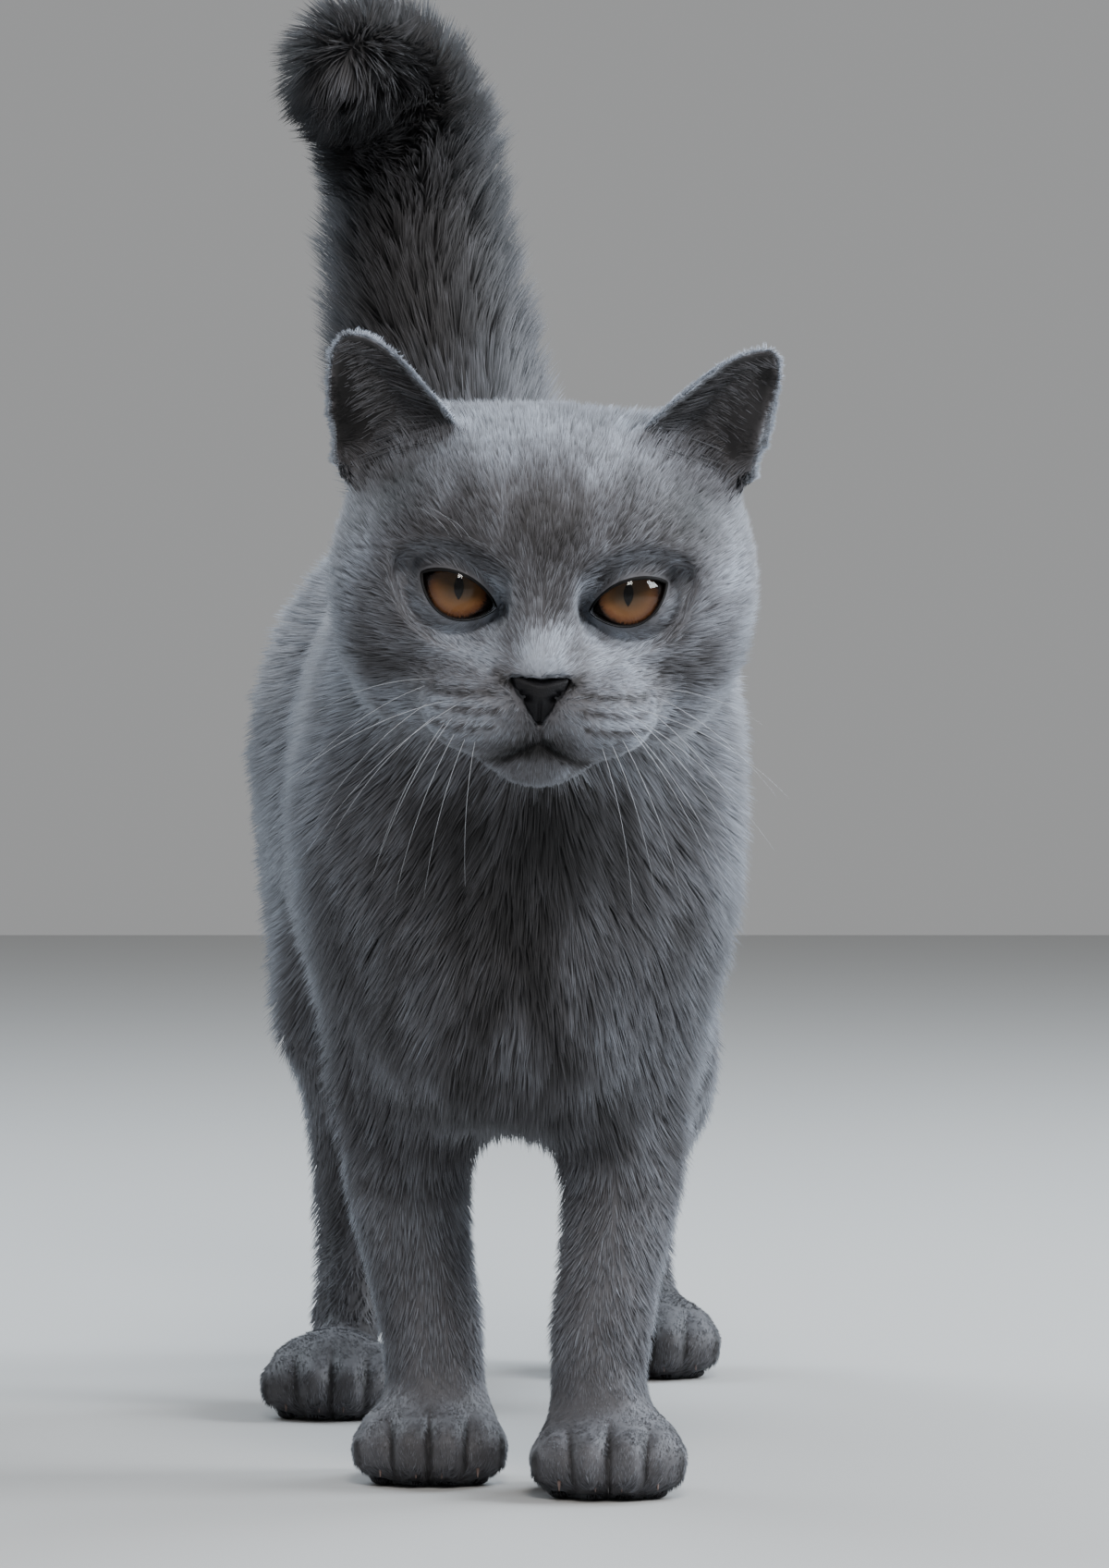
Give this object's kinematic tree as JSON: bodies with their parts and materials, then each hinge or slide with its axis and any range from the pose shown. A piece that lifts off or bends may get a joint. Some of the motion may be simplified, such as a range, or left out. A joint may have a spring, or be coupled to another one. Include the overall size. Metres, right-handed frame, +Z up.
{
  "type": "cat",
  "caption": "Young blue-grey short-haired cat standing square on, looking ahead, tail raised with its tip curled forward; a still life-size model.",
  "frame": {"origin": "under the middle of the cat's whole box, on the floor it stands on", "axes": "+Z up; the cat faces -Y; +X is the cat's left side"},
  "size_m": [0.145, 0.4768, 0.41],
  "materials": {
    "coat": "short dense plush fur, matte with a soft cool sheen",
    "nose_leather": "fine-pebbled dark slate, slightly moist",
    "eye": "wet glossy eye, copper iris",
    "claw": "translucent horn",
    "whisker": "white hair"
  },
  "bodies": {
    "root": {"head": "coat", "ear_right": "coat", "ear_left": "coat", "neck": "coat", "trunk_front": "coat", "trunk_rear": "coat", "tail_root": "coat", "tail_middle": "coat", "tail_tip": "coat", "fore_leg_right": "coat", "fore_paw_right": "coat", "fore_leg_left": "coat", "fore_paw_left": "coat", "hind_leg_right": "coat", "hind_paw_right": "coat", "hind_leg_left": "coat", "hind_paw_left": "coat", "nose": "nose_leather", "eye_right": "eye", "eye_left": "eye"}
  },
  "joints": []
}
